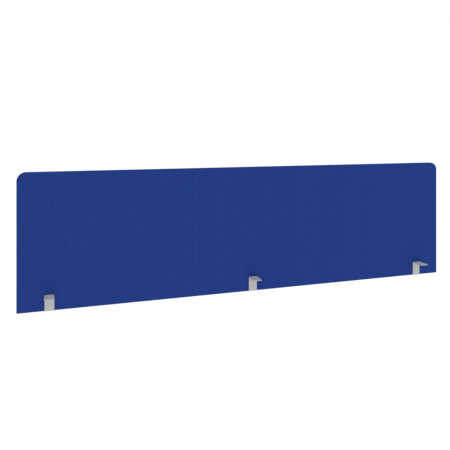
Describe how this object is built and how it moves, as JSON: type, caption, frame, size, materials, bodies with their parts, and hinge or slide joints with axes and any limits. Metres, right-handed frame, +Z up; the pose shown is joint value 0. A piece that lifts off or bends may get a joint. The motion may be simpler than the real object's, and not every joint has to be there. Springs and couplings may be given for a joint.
{
  "type": "desk privacy panel",
  "caption": "Long low fabric-covered screen that hangs behind a desk top on folded steel brackets screwed up under the top.",
  "frame": {"origin": "middle of the middle flange's pair of desk-screw holes, on the flange's top face, which bears on the underside of the desk top", "axes": "+X along the panel, to the right for someone at the desk; +Y horizontally away from the desk, square to the panel; +Z up"},
  "size_m": [1.6, 0.0716, 0.45],
  "materials": {
    "cover_fabric": "woven polyester, royal blue, small staggered dot weave",
    "felt_padding": "needled polyester felt, off-white",
    "mdf_core": "raw MDF board",
    "sewing_thread": "bonded polyester thread, royal blue",
    "closing_pvc": "matt PVC strip, dark blue",
    "staple_wire": "galvanised flat wire",
    "bracket_paint": "light grey fine-texture powder coat on folded steel",
    "plated_steel": "zinc plated steel"
  },
  "bodies": {
    "root": {"core_board": "mdf_core", "front_felt": "felt_padding", "rear_felt": "felt_padding", "front_cover": "cover_fabric", "rear_cover": "cover_fabric", "cover_seam": "sewing_thread", "hem_staples": "staple_wire", "closing_strip": "closing_pvc", "left_bracket": "bracket_paint", "middle_bracket": "bracket_paint", "right_bracket": "bracket_paint", "left_upper_stud": "plated_steel", "left_lower_stud": "plated_steel", "middle_upper_stud": "plated_steel", "middle_lower_stud": "plated_steel", "right_upper_stud": "plated_steel", "right_lower_stud": "plated_steel", "left_upper_nut": "plated_steel", "left_lower_nut": "plated_steel", "middle_upper_nut": "plated_steel", "middle_lower_nut": "plated_steel", "right_upper_nut": "plated_steel", "right_lower_nut": "plated_steel"}
  },
  "joints": []
}
